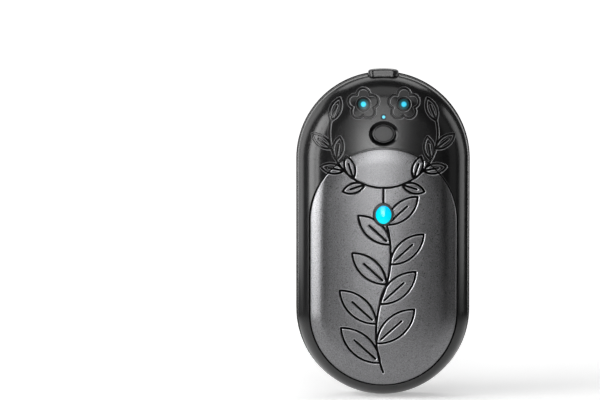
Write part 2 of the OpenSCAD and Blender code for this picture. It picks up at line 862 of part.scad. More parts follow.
module usb_c_receptacle() color([0.7, 0.7, 0.72])
    translate([0, socket_y - socket_l / 2, port_z]) {
        difference() {
            slot(socket_w, socket_h, socket_l);
            translate([0, socket_floor, 0])
                slot(socket_w - 2 * socket_skin, socket_h - 2 * socket_skin, socket_l);
        }
        translate([-contact_w / 2, -socket_l / 2 + socket_floor / 2, -contact_t / 2])
            cube([contact_w, contact_l, contact_t]);
    }

module port_cover() color([0.06, 0.06, 0.065]) {
    intersection() {
        translate([0, arc_y, 0]) rotate_extrude(angle = 180) cover_section();
        translate([0, cover_y, 0]) difference() {
            translate([-cover_w / 2, 0, hinge_z]) cube([cover_w, body_w, cover_h]);
            for (s = [-1, 1]) translate([s * cover_w / 2, 0, hinge_z + cover_h])
                rotate([-90, 0, 0]) corner(cover_corner, body_w, s);
        }
    }
    translate([0, hinge_y, hinge_z]) rotate([0, 90, 0])
        cylinder(r = bead_r, h = cover_w, center = true);
    translate([0, cover_y - tongue_l / 2 + slip / 2, port_z]) slot(tongue_w, tongue_h, tongue_l + slip);
}

// Section of the cover with its outer edges chamfered: x is the distance from the top arc's centre
module cover_section() {
    low = hinge_z;
    high = hinge_z + cover_h;
    polygon([
        [cover_top_r / 2, low], [cover_top_r - cover_chamfer, low],
        [cover_top_r, low + cover_chamfer], [cover_top_r, high - cover_chamfer],
        [cover_top_r - cover_chamfer, high], [cover_top_r / 2, high]
    ]);
}

module charge_chip() color([0.08, 0.08, 0.08])
    translate([charge_chip_at[0], charge_chip_at[1], board_top])
        block(charge_chip_size);

module control_chip() color([0.08, 0.08, 0.08])
    translate([control_chip_at[0], control_chip_at[1], board_top]) {
        translate([0, 0, chip_lift]) block(control_chip_size);
        for (s = [-1, 1], i = [0 : chip_pins - 1])
            translate([s * (control_chip_size[0] + chip_pin[0]) / 2 - s * chip_lift,
                (i - (chip_pins - 1) / 2) * chip_pitch, 0]) block(chip_pin);
    }

// Block that stands on the origin
module block(size) {
    translate([-size[0] / 2, -size[1] / 2, 0]) cube(size);
}

module power_inductor() color([0.25, 0.25, 0.27])
    translate([inductor_at[0], inductor_at[1], board_z]) mirror([0, 0, 1]) {
        block([inductor_w, inductor_w, inductor_base]);
        cylinder(r = inductor_core_r, h = inductor_h);
        translate([0, 0, inductor_h - inductor_base])
            cylinder(r = inductor_cap_r, h = inductor_base);
    }

module board_capacitors() color([0.6, 0.45, 0.3])
    for (i = [0 : capacitors - 1])
        translate([capacitor_at[0] + i * capacitor_pitch, capacitor_at[1], board_z])
            mirror([0, 0, 1]) block(capacitor_size);

module thermistor() color([0.1, 0.1, 0.1])
    translate([thermistor_x, thermistor_y, thermistor_z]) sphere(r = thermistor_r);

// Wires

// Lead from a cell strap to the board above it; side is -1 or 1
module battery_lead(side) {
    wire(
        [side * cell_x, cell_top_y + strap_t, cell_z + 1], [0, 1.8, 0],
        [side * battery_lead_end[0], battery_lead_end[1], board_z], [0, 0, 2.5],
        lead_r
    );
}

module battery_lead_red() color([0.8, 0.1, 0.1]) battery_lead(-1);

module battery_lead_black() color([0.05, 0.05, 0.05]) battery_lead(1);

module heater_leads() color([0.8, 0.5, 0.1]) for (s = [-1, 1]) wire(
    [s * heater_lead_start[0], heater_lead_start[1], film_under_z], [0, 0, -3],
    [s * heater_lead_end[0], heater_lead_end[1], board_top], [0, 0, -3],
    fine_lead_r
);

module gem_leads() color([0.9, 0.9, 0.9]) for (s = [-1, 1]) wire(
    [s * gem_lead_x, gem_y + gem_board_l / 2, gem_board_z + gem_board_t / 2], [0, 4, 0],
    [s * gem_lead_x, gem_lead_end_y, board_top], [0, 0, -3],
    fine_lead_r
);

module thermistor_leads() color([0.7, 0.7, 0.2]) for (s = [-1, 1]) wire(
    [thermistor_x + s * thermistor_lead_start, thermistor_y, thermistor_z - thermistor_r], [0, 0, -2],
    [thermistor_x + s * thermistor_lead_end[0], thermistor_lead_end[1], board_top], [0, 0, -2],
    fine_lead_r
);

// Screws

module case_screws() color([0.6, 0.6, 0.62])
    for (p = case_spots) translate([p[0], p[1], case_head_z]) screw(case_screw_l);

module board_screws() color([0.6, 0.6, 0.62])
    for (p = board_spots) translate([p[0], p[1], board_top]) screw(board_screw_l);

// Stands the unit up on its lower end, the plate to the front
module stand() {
    rotate([90, 0, 0]) children();
}

stand() front_shell();
stand() rear_shell();
stand() heating_plate();
stand() plate_gasket();
stand() heater_film();
stand() insulation_pad();
stand() cell_foam();
stand() battery_cell_left();
stand() battery_cell_right();
stand() cell_strap_bottom();
stand() cell_strap_top();
stand() main_board();
stand() tact_switch_base();
stand() tact_plunger();
stand() power_button();
stand() lamp_lens_left();
stand() lamp_lens_right();
stand() center_lens();
stand() lamp_leds();
stand() gem_bezel();
stand() gem_lens();
stand() gem_board();
stand() gem_led();
stand() usb_c_receptacle();
stand() port_cover();
stand() charge_chip();
stand() control_chip();
stand() power_inductor();
stand() board_capacitors();
stand() thermistor();
stand() battery_lead_red();
stand() battery_lead_black();
stand() heater_leads();
stand() gem_leads();
stand() thermistor_leads();
stand() case_screws();
stand() board_screws();
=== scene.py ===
import json
import math

import bpy
import numpy as np
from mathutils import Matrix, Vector
from mathutils.geometry import delaunay_2d_cdt
from mathutils.kdtree import KDTree


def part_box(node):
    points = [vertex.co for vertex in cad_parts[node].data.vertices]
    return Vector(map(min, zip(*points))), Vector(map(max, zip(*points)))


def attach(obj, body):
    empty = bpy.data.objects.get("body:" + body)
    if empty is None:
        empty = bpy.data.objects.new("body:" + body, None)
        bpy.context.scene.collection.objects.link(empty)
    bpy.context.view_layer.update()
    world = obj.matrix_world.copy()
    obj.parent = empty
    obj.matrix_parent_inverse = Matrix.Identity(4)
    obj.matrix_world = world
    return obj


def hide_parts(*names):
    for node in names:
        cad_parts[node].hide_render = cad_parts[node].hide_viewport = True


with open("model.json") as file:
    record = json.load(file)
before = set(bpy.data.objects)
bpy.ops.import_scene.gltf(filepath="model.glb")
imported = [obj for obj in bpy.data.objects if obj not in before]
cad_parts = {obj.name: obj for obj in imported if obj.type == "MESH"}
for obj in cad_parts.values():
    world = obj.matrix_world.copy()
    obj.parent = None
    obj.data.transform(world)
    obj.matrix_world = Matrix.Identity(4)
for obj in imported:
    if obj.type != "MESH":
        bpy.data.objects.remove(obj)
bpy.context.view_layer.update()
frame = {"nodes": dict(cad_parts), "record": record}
scene = bpy.context.scene
nodes = frame["nodes"]
MM = 0.001

# The unit is worked out as it lies on its back, in mm: x across, y along the body, z above the back.


def lying_box(node):
    """Lowest and highest corner of a CAD node as it lies on its back, in mm"""
    low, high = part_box(node)
    return (np.array([low.x, low.z, -high.y]) / MM, np.array([high.x, high.z, -low.y]) / MM)


# Camera: a little to the left of the unit and above it, aimed so that the unit stands right of the middle.
# UNIT_AT is the pixel of the 600 x 400 picture that shows the middle of the unit's seam.
CAMERA_TURN, CAMERA_RISE, CAMERA_FAR, LENS, SENSOR = 0.7, 5.4, 1.442, 250, 36
SEAM_MIDDLE = Vector((0, -0.010, 0))
PICTURE, UNIT_AT = (600, 400), (383.25, 232.85)

data = bpy.data.cameras.new("camera")
data.lens = LENS
data.sensor_width = SENSOR
data.clip_end = 20
camera = bpy.data.objects.new("camera", data)
scene.collection.objects.link(camera)
turn, rise = math.radians(CAMERA_TURN), math.radians(CAMERA_RISE)
camera.location = SEAM_MIDDLE + CAMERA_FAR * Vector(
    (-math.sin(turn) * math.cos(rise), -math.cos(turn) * math.cos(rise), math.sin(rise)))
focal = PICTURE[0] * LENS / SENSOR
aside, below = (math.atan((at - size / 2) / focal) for at, size in zip(UNIT_AT, PICTURE))
camera.rotation_euler = (math.radians(90) - rise + below, 0, aside - turn)
scene.camera = camera
scene.view_settings.view_transform = "Standard"

# Sizes of the body, from the boxes of its nodes and the radii of its section: crown and edge. The plate stands PROUD
# of the shell, with a GAP round it, on a ledge. RIM is the shell's rounding at the seam, over a lip LIP_H high.
rear_high = lying_box("rear_shell")[1]
front_low, front_high = lying_box("front_shell")
plate_low, plate_high = lying_box("heating_plate")
key_low, key_high = lying_box("power_button")
cover_low, cover_high = lying_box("port_cover")
CROWN_R, EDGE_R, WALL = 120, 12, 2.4
PROUD, GAP, PLATE_T, LEDGE_W, LEDGE_DOWN = 0.15, 0.4, 1, 1.6, 1.45
LIP_H, LIP_T, RIM = 1.5, 0.9, 0.35
SEAM = front_low[2] + LIP_H
FRONT_W = front_high[0]
ARC_Y = rear_high[1] - rear_high[0]
TOP = plate_high[2] - PROUD
EDGE_X = FRONT_W - EDGE_R
CROWN_Z = TOP - CROWN_R
EDGE_Z = CROWN_Z + math.sqrt((CROWN_R - EDGE_R) ** 2 - EDGE_X ** 2)
EDGE_ANGLE = math.asin(EDGE_X / (CROWN_R - EDGE_R))
U_EDGE = CROWN_R * EDGE_ANGLE
U_SIDE = U_EDGE + EDGE_R * (math.pi / 2 - EDGE_ANGLE)
U_RIM = U_SIDE + EDGE_Z - SEAM - RIM
PLATE_R = plate_high[0]
PLATE_ENDS = (plate_low[1] + PLATE_R, plate_high[1] - PLATE_R)

# The key, the lamps and the oval lamp, each without the flange that holds it behind its opening, and the port.
# OVAL_END is the radius at the ends of an oval, as a share of half its width.
OVAL_END = 0.84
KEY_FLANGE, KEY_FLANGE_T, KEY_TOP, KEY_DIP, KEY_RING, RING_SLOPE = 1, 0.8, 0.1, 0.9, 1.2, 0.95
AIR, SLIP = 0.25, 0.1
LAMP_FLANGE, WELL_FLOOR, WELL_WALL, DOT_R = 0.75, 0.45, 0.4, 0.7
GEM_FLANGE, GEM_RING = 0.65, 0.65
POCKET_CORNER, POCKET_DEEP, SOCKET_FIT = 2.25, 0.8, 0.25
BEAD_R, BEAD_OUT = 0.6, 1.5 * RIM
key_at = (key_low[:2] + key_high[:2]) / 2
key_w, key_l = key_high[:2] - key_low[:2] - 2 * KEY_FLANGE
gem_low, gem_high = lying_box("gem_lens")
gem_at = (gem_low[:2] + gem_high[:2]) / 2
gem_w, gem_l = gem_high[:2] - gem_low[:2] - 2 * GEM_FLANGE
lamps = []
for name in ("lamp_lens_left", "lamp_lens_right"):
    low, high = lying_box(name)
    lamps.append((low[:2] + high[:2]) / 2)
lamp_r = (high[0] - low[0]) / 2 - LAMP_FLANGE
dot_low, dot_high = lying_box("center_lens")
dot_at = (dot_low[:2] + dot_high[:2]) / 2
socket_low, socket_high = lying_box("usb_c_receptacle")
socket_z = (socket_low[2] + socket_high[2]) / 2
pocket_y = FRONT_W + ARC_Y - POCKET_DEEP

# Mesh of the front: the steps of drawn lines, of the grid and of the rows along the engraving, how near two points
# may come, and how far from an edge they keep: those of rows along edges, of rows along the engraving, of the grid
FINE, GRID, ALONG, CLOSEST = 0.05, 1.3, 0.35, 0.06
OFF_EDGE = (0.03, 0.05, 0.3)


# The front surface. A point is given by its distance d from the body's middle line, or by its distance u
# along the surface, in which the whole front opens out flat.
def split(p, ends=(-ARC_Y, ARC_Y)):
    """Foot of each point on the middle line, its distance from there and its direction"""
    foot = np.stack([np.zeros(len(p)), np.clip(p[:, 1], *ends)], 1)
    away = p - foot
    d = np.hypot(away[:, 0], away[:, 1])
    return foot, d, away / np.maximum(d, 1e-9)[:, None]


def height(d, grow=0.0):
    """Height of the front surface, grown by grow, at the distance d"""
    crown = CROWN_Z + np.sqrt(np.maximum((CROWN_R + grow) ** 2 - d ** 2, 0))
    edge = EDGE_Z + np.sqrt(np.maximum((EDGE_R + grow) ** 2 - np.maximum(d - EDGE_X, 0) ** 2, 0))
    return np.where(d <= (CROWN_R + grow) * math.sin(EDGE_ANGLE), crown, edge)


def slope(d):
    """Angle between the surface's normal and the vertical at the distance d"""
    edge = np.arcsin(np.clip((d - EDGE_X) / EDGE_R, 0, 1))
    return np.where(d <= CROWN_R * math.sin(EDGE_ANGLE), np.arcsin(np.clip(d / CROWN_R, 0, 1)), edge)


def flat(p):
    """Points of the plan opened out flat"""
    foot, d, way = split(p)
    angle = slope(d)
    u = np.where(angle <= EDGE_ANGLE, CROWN_R * angle, U_EDGE + EDGE_R * (angle - EDGE_ANGLE))
    return foot + way * u[:, None]


def folded(q):
    """Places, plan points and normals of points of the flat"""
    foot, u, way = split(q)
    angle = np.where(u <= U_EDGE, u / CROWN_R, EDGE_ANGLE + (u - U_EDGE) / EDGE_R)
    angle = np.minimum(angle, math.pi / 2)
    d = np.where(u <= U_EDGE, CROWN_R * np.sin(angle), EDGE_X + EDGE_R * np.sin(angle))
    z = np.where(u <= U_EDGE, CROWN_Z + CROWN_R * np.cos(angle), EDGE_Z + EDGE_R * np.cos(angle))
    z = z - np.maximum(u - U_SIDE, 0)
    plan = foot + way * d[:, None]
    normal = np.column_stack([way * np.sin(angle)[:, None], np.cos(angle)])
    return np.column_stack([plan, z]), plan, normal


# Lines of the plan
def arc(centre, r, start, end, step=FINE):
    """Arc about a centre from one angle to another, in degrees"""
    count = max(2, math.ceil(abs(math.radians(end - start)) * r / step) + 1)
    a = np.radians(np.linspace(start, end, count))
    return np.array(centre) + r * np.stack([np.cos(a), np.sin(a)], 1)


def line(a, b, step=FINE):
    """Points along a straight line"""
    count = max(2, math.ceil(math.dist(a, b) / step) + 1)
    return np.linspace(a, b, count)


def placed(p, at, degrees):
    """Points turned about the origin and moved to a place"""
    a = math.radians(degrees)
    spin = np.array([[math.cos(a), math.sin(a)], [-math.sin(a), math.cos(a)]])
    return p @ spin + np.array(at)


def stadium(r, ends=(-ARC_Y, ARC_Y), count=960):
    """Closed outline round a middle line: the same number of points for every size, half of them on the arcs"""
    quarter, (low, high) = count // 4, ends
    a = np.radians(np.linspace(0, 180, quarter, endpoint=False))
    right = np.stack([np.full(quarter, r), np.linspace(low, high, quarter, endpoint=False)], 1)
    upper = np.stack([r * np.cos(a), high + r * np.sin(a)], 1)
    left = np.stack([np.full(quarter, -r), np.linspace(high, low, quarter, endpoint=False)], 1)
    lower = np.stack([-r * np.cos(a), low - r * np.sin(a)], 1)
    return np.concatenate([right, upper, left, lower])


def oval(at, w, l, grow=0.0, count=160):
    """Closed oval of four arcs, the same number of points for every growth"""
    long, short = max(w, l) / 2, min(w, l) / 2
    end_r = OVAL_END * short
    end_x = long - end_r
    side_r = (end_x ** 2 + short ** 2 - end_r ** 2) / (2 * (short - end_r))
    meet = math.degrees(math.atan2(side_r - short, end_x))
    end = arc((end_x, 0), end_r + grow, -meet, meet, (end_r + grow) * math.radians(2 * meet) * 4 / count)
    side = arc((0, short - side_r), side_r + grow, meet, 180 - meet,
               (side_r + grow) * math.radians(180 - 2 * meet) * 4 / count)
    half = np.concatenate([end[:-1], side[:-1]])
    return placed(np.concatenate([half, -half]), at, 90 if l > w else 0)


def circle(at, r, count=96):
    """Closed circle"""
    a = np.arange(count) * 2 * math.pi / count
    return np.array(at) + r * np.stack([np.cos(a), np.sin(a)], 1)


# Engraved lines: a stem up the plate, a wreath round the key and a blossom round each lamp.
# ROWS are the distances from a line at which the mesh has points, FAN the turns of those round its ends.
LINE_D, LINE_FLOOR, LINE_WALL = 0.42, 0.18, 0.42
ROWS, FAN, ROW_SLACK = (0, 0.14, 0.27, 0.40, 0.52, 0.66), (-60, -30, 0, 30, 60), 0.03
STEM_LEAVES, STEM_INSET, STEM_SWAY, STEM_LEAN, STEM_SHRINK = 8, 4.5, 2.5, 48, 0.03
LEAF_L, LEAF_W = 18, 7.4
VEIN = (0.12, 0.66)
WREATH_R, WREATH_END, WREATH_END_LEAN, WREATH_LEAN = 18.5, 14, 8, 38
WREATH_OUTER, WREATH_INNER = (-70, -43, -16), (-56, -29)
WREATH_LEAF_L, WREATH_LEAF_W = 8, 3.4
PETALS, PETAL_OUT, PETAL_R = 5, 3.1, 2.2


def leaf(l, w, at, degrees):
    """Two arcs and a vein, from the leaf's base"""
    r = (l * l + w * w) / (4 * w)
    half = math.degrees(math.asin(l / 2 / r))
    sides = [arc((l / 2, s * (r - w / 2)), r, -s * 90 - half, -s * 90 + half) for s in (1, -1)]
    return [placed(p, at, degrees) for p in (*sides, line((VEIN[0] * l, 0), (VEIN[1] * l, 0)))]


def stem_lines():
    """Stem of two arcs with leaves on both sides, smaller towards the top"""
    low, high = plate_low[1] + STEM_INSET, gem_at[1]
    middle, quarter = (low + high) / 2, (high - low) / 4
    sway_r = (quarter ** 2 + STEM_SWAY ** 2) / (2 * STEM_SWAY)
    sway = math.degrees(math.asin(quarter / sway_r))
    lines = [arc((-s * (sway_r - STEM_SWAY), middle + s * quarter), sway_r, turn - sway, turn + sway)
             for s, turn in ((1, 0), (-1, 180))]
    for i in range(STEM_LEAVES):
        y = low + (i + 0.5) * 4 * quarter / STEM_LEAVES
        s = -1 if y < middle else 1
        x = s * (math.sqrt(sway_r ** 2 - (y - middle - s * quarter) ** 2) - sway_r + STEM_SWAY)
        size = 1 - STEM_SHRINK * i
        lean = STEM_LEAN if i % 2 else -STEM_LEAN
        lines += leaf(size * LEAF_L, size * LEAF_W, (x, y), 90 - lean)
    return lines


def wreath_lines():
    """Two branches round the key, one the mirror of the other, and the line that joins them to the oval lamp"""
    low = key_at[1] - WREATH_R
    lines = [line((0, gem_at[1]), (0, low))]
    branch = [arc((0, 0), WREATH_R, -90, WREATH_END)]
    leaves = [(a, -WREATH_LEAN) for a in WREATH_OUTER] + [(a, WREATH_LEAN) for a in WREATH_INNER]
    for a, lean in (*leaves, (WREATH_END, WREATH_END_LEAN)):
        base = (WREATH_R * math.cos(math.radians(a)), WREATH_R * math.sin(math.radians(a)))
        branch += leaf(WREATH_LEAF_L, WREATH_LEAF_W, base, a + 90 + lean)
    return lines + [p * (s, 1) + key_at for p in branch for s in (1, -1)]


def blossom_lines():
    """Outer arcs of the petals round each lamp, each as far as it meets its neighbours"""
    step = 180 / PETALS
    across, up = math.cos(math.radians(step)), math.sin(math.radians(step))
    out = PETAL_OUT * across + math.sqrt(PETAL_R ** 2 - (PETAL_OUT * up) ** 2)
    reach = math.degrees(math.atan2(out * up, out * across - PETAL_OUT))
    petal = arc((PETAL_OUT, 0), PETAL_R, -reach, reach)
    return [placed(petal, at, 90 + 2 * step * i) for at in lamps for i in range(PETALS)]


stem, wreath, blossoms = stem_lines(), wreath_lines(), blossom_lines()


class Track:
    """Lines of the plan, for finding the nearest one to a point"""

    def __init__(self, lines, closed=False, region=1):
        """region is 1 where the surface lies on the right of the lines and -1 where it lies on their left"""
        if closed:
            lines = [np.concatenate([p, p[:1]]) for p in lines]
        self.lines, self.region = lines, region
        self.at = np.concatenate(lines)
        self.way = np.concatenate([np.gradient(p, axis=0) for p in lines])
        self.way /= np.linalg.norm(self.way, axis=1)[:, None]
        self.step = max(np.linalg.norm(np.diff(p, axis=0), axis=1).max() for p in lines)
        self.tree = KDTree(len(self.at))
        for i, (x, y) in enumerate(self.at):
            self.tree.insert((x, y, 0), i)
        self.tree.balance()

    def nearest(self, p):
        """For each point: how far it lies from the nearest line, the way from there, and the line's direction"""
        index = np.array([self.tree.find((x, y, 0))[1] for x, y in p])
        off, way = p - self.at[index], self.way[index]
        along = (off * way).sum(1)
        off = np.where((np.abs(along) < self.step)[:, None], off - way * along[:, None], off)
        far = np.hypot(off[:, 0], off[:, 1])
        off = off / np.maximum(far, 1e-6)[:, None]
        square = self.region * np.stack([way[:, 1], -way[:, 0]], 1)
        return far, np.where((far < 0.001)[:, None], square, off), way


def side_of(track, p):
    """Distance to the nearest closed outline, positive on its left"""
    far, off, way = track.nearest(p)
    return far * np.sign(way[:, 0] * off[:, 1] - way[:, 1] * off[:, 0])


# Depth below the surface at the distance t from a line or an edge, and how fast it changes
def carved(t, floor, wall):
    """Flat as far as floor, with a wall of the width wall that is rounded at both ends"""
    s = np.clip((t - floor) / wall, 0, 1)
    return LINE_D * (1 - s * s * (3 - 2 * s)), -LINE_D * 6 * s * (1 - s) / wall


def groove(t):
    """Engraved line"""
    return carved(t, LINE_FLOOR, LINE_WALL)


def well(t):
    """Dish round a lamp"""
    return carved(t, WELL_FLOOR, WELL_WALL)


def rounded(t, width, depth):
    """Rounded edge"""
    s = np.clip(1 - t / width, 0, 1)
    return depth * s * s, -2 * depth * s / width


def thinned(fixed, groups, least):
    """The fixed points and those of all groups, less those closer than least to an earlier one"""
    cells, kept = {}, []
    for points in (fixed, *groups):
        for x, y in points:
            i, j = int(x // least), int(y // least)
            near = (p for m in (i - 1, i, i + 1) for n in (j - 1, j, j + 1) for p in cells.get((m, n), ()))
            if points is fixed or all(math.dist((x, y), p) >= least for p in near):
                cells.setdefault((i, j), []).append((x, y))
                kept.append((x, y))
    return np.array(kept)


def triangles(points, loops):
    """Triangles between the first loop and the others, which are holes. The loops' points come first."""
    edges, start = [], 0
    for loop in loops:
        n = len(loop)
        edges += [(start + i, start + (i + 1) % n) for i in range(n)]
        start += n
    result = delaunay_2d_cdt([Vector(p) for p in points], edges, [], 0, 1e-6, True)
    origin = [ids[0] for ids in result[3]]
    faces = np.array([[origin[i] for i in face] for face in result[2]])
    centres = np.asarray(points)[faces].mean(1)
    inside = side_of(Track([loops[0]], True), centres) > 0
    for loop in loops[1:]:
        inside &= side_of(Track([loop], True), centres) < 0
    return faces[inside]


class Shape:
    """A piece made of groups of points and faces, each group with its own smooth normals"""

    def __init__(self):
        self.points, self.faces, self.normals, self.painted_light_marks = [], [], [], []

    def add(self, points, faces, normals=None, painted_light_marks=None):
        """One group: smooth over its own faces unless normals are given. marks say how deep in the engraving
        each point lies, from 0 to 1, which the engraved finishes turn into a painted highlight on the cut walls and
        painted shade at the bottom."""
        start = sum(len(p) for p in self.points)
        points = np.asarray(points, float)
        if normals is None:
            normals = np.zeros_like(points)
            for f in faces:
                p = points[list(f)]
                n = np.cross(p[1] - p[0], p[2] - p[0]) if len(f) == 3 else np.cross(p[2] - p[0], p[3] - p[1])
                for i in f:
                    normals[i] += n
        self.points.append(points)
        self.faces += [tuple(int(i) + start for i in f) for f in faces]
        self.normals.append(normals)
        self.painted_light_marks.append(np.zeros(len(points)) if painted_light_marks is None else painted_light_marks)

    def loft(self, *rings, painted_shade=0):
        """Bands between closed rings of equal counts; the outside is on the right of the first ring's way. A mark of
        1 gives them painted shade in the engraved finishes.
        """
        n = len(rings[0])
        self.add(np.concatenate(rings), [
            (k * n + i, k * n + (i + 1) % n, (k + 1) * n + (i + 1) % n, (k + 1) * n + i)
            for k in range(len(rings) - 1) for i in range(n)], painted_light_marks=np.full(n * len(rings), float(painted_shade)))

    def cap(self, ring, middle):
        """Fan from a closed ring to its middle"""
        n = len(ring)
        self.add(np.concatenate([ring, [middle]]), [(i, (i + 1) % n, n) for i in range(n)])

    def piece(self, name, body, material, slot, *replaced):
        """Stands the shape up, makes it an object on its body and hides the CAD nodes it replaces"""
        points = np.concatenate(self.points) * MM
        normals = np.concatenate(self.normals)
        normals /= np.maximum(np.linalg.norm(normals, axis=1), 1e-12)[:, None]
        stand = np.array([[1, 0, 0], [0, 0, 1], [0, -1, 0]])
        mesh = bpy.data.meshes.new(name)
        mesh.from_pydata((points @ stand).tolist(), [], self.faces)
        mesh.polygons.foreach_set("use_smooth", [True] * len(mesh.polygons))
        # The groove attribute holds the marks, from which the engraved finishes take a painted highlight on cut walls
        # and painted shade at the bottom
        mesh.attributes.new("groove", "FLOAT", "POINT").data.foreach_set("value", np.concatenate(self.painted_light_marks))
        mesh.normals_split_custom_set_from_vertices((normals @ stand).tolist())
        mesh.materials.append(material)
        o = bpy.data.objects.new(name, mesh)
        scene.collection.objects.link(o)
        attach(o, body)
        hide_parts(*replaced)


def raised(plan, grow=0.0):
    """Points of the plan lifted to the front surface"""
    return np.column_stack([plan, height(split(plan)[1], grow)])


def at_height(plan, z):
    """Points of the plan at one height"""
    return np.column_stack([plan, np.full(len(plan), float(z))])


def line_rows(engraving):
    """Points in rows along the engraved lines and in fans round their ends, without those nearer to a line than
    their own row"""
    lines = []
    step = max(1, round(ALONG / FINE))
    turns = np.radians(FAN)
    for p in engraving.lines:
        at = np.concatenate([p[::step], p[-1:]])
        way = np.gradient(p, axis=0)
        way = np.concatenate([way[::step], way[-1:]])
        way /= np.linalg.norm(way, axis=1)[:, None]
        across = np.stack([-way[:, 1], way[:, 0]], 1)
        for row in ROWS:
            for s in ((1, -1) if row else (1,)):
                lines.append((row, at + s * row * across))
            for end, (x, y) in ((at[0], -way[0]), (at[-1], way[-1])):
                lines.append((row, end + row * np.stack([
                    x * np.cos(turns) - y * np.sin(turns), x * np.sin(turns) + y * np.cos(turns)], 1)))
    rows = np.concatenate([p for row, p in lines])
    least = np.concatenate([np.full(len(p), row) for row, p in lines])
    return rows[engraving.nearest(rows)[0] > least - ROW_SLACK]


def skin(shape, loops, engraving, edges, grow=0.0, rows_of=()):
    """Engraved front surface between loops of the flat. edges are (profile, track) pairs of the plan;
    rows_of are plan outlines that get rows of points along them at the distances given."""
    reach = math.ceil((ARC_Y + U_RIM) / GRID)
    steps = np.arange(-reach, reach + 1)
    grid = GRID * np.stack(np.meshgrid(steps, steps), -1).reshape(-1, 2)
    grid = grid + (GRID / 2, 0) * (np.round(grid[:, 1:] / GRID) % 2)
    grid = grid[engraving.nearest(folded(grid)[1])[0] > ROWS[-1] + GRID / 4]
    near = np.concatenate([outline + t * across for outline, across, ts in rows_of for t in ts])
    tracks = [Track([loop], True) for loop in loops]
    free = []
    for points, margin in zip((flat(near), flat(line_rows(engraving)), grid), OFF_EDGE):
        keep = side_of(tracks[0], points) > margin
        for track in tracks[1:]:
            keep &= side_of(track, points) < -margin
        free.append(points[keep])
    points = thinned(np.concatenate(loops), free, CLOSEST)
    place, plan, normal = folded(points)
    depth, tilt, painted_light_marks = np.zeros(len(plan)), np.zeros((len(plan), 2)), np.zeros(len(plan))
    for profile, track in [(groove, engraving), *edges]:
        far, off, _ = track.nearest(plan)
        value, change = profile(far)
        # Depth share of lines and wells, for the painted highlight on their cut walls and the painted shade at their
        # bottom
        if profile in (groove, well):
            painted_light_marks = np.maximum(painted_light_marks, value / LINE_D)
        depth += value
        tilt += off * change[:, None]
    moved = raised(plan, grow - depth)
    place = np.where(((depth > 0) | (grow != 0))[:, None], moved, place)
    normal = normal + np.column_stack([tilt, np.zeros(len(tilt))])
    shape.add(place, triangles(points, loops), normal, painted_light_marks)


# Outlines and walls of the pieces
def wall_of(shape, outline, top, bottom):
    """Wall down from an outline, from the surface grown by top to the one grown by bottom"""
    shape.loft(raised(outline, top), raised(outline, bottom))


def outward(outline):
    """Ways out of a closed outline at its points"""
    way = np.roll(outline, -1, 0) - np.roll(outline, 1, 0)
    way /= np.linalg.norm(way, axis=1)[:, None]
    return np.stack([way[:, 1], -way[:, 0]], 1)


# The port's outlines are those seen from outside, so that their first coordinate runs against x
def tab_outline(half, low, high, corner, step):
    """Outline of the cover and of its pocket, with two round corners on the side of the front"""
    in_x, in_z = half - corner, high - corner
    return np.concatenate([
        line((-half, low), (half, low), step)[:-1], line((half, low), (half, in_z), step)[:-1],
        arc((in_x, in_z), corner, 0, 90, step), line((in_x, high), (-in_x, high), step)[1:-1],
        arc((-in_x, in_z), corner, 90, 180, step), line((-half, in_z), (-half, low), step)[1:-1]])


def socket_outline(grow, step):
    """Outline of the socket, grown by grow"""
    half_w, _, half_h = (socket_high - socket_low) / 2 + grow
    return np.concatenate([arc((half_w - half_h, socket_z), half_h, -90, 90, step),
                           arc((half_h - half_w, socket_z), half_h, 90, 270, step)])


def at_end(outline, y):
    """An outline of the port at one place along the body"""
    return np.column_stack([-outline[:, 0], np.full(len(outline), float(y)), outline[:, 1]])


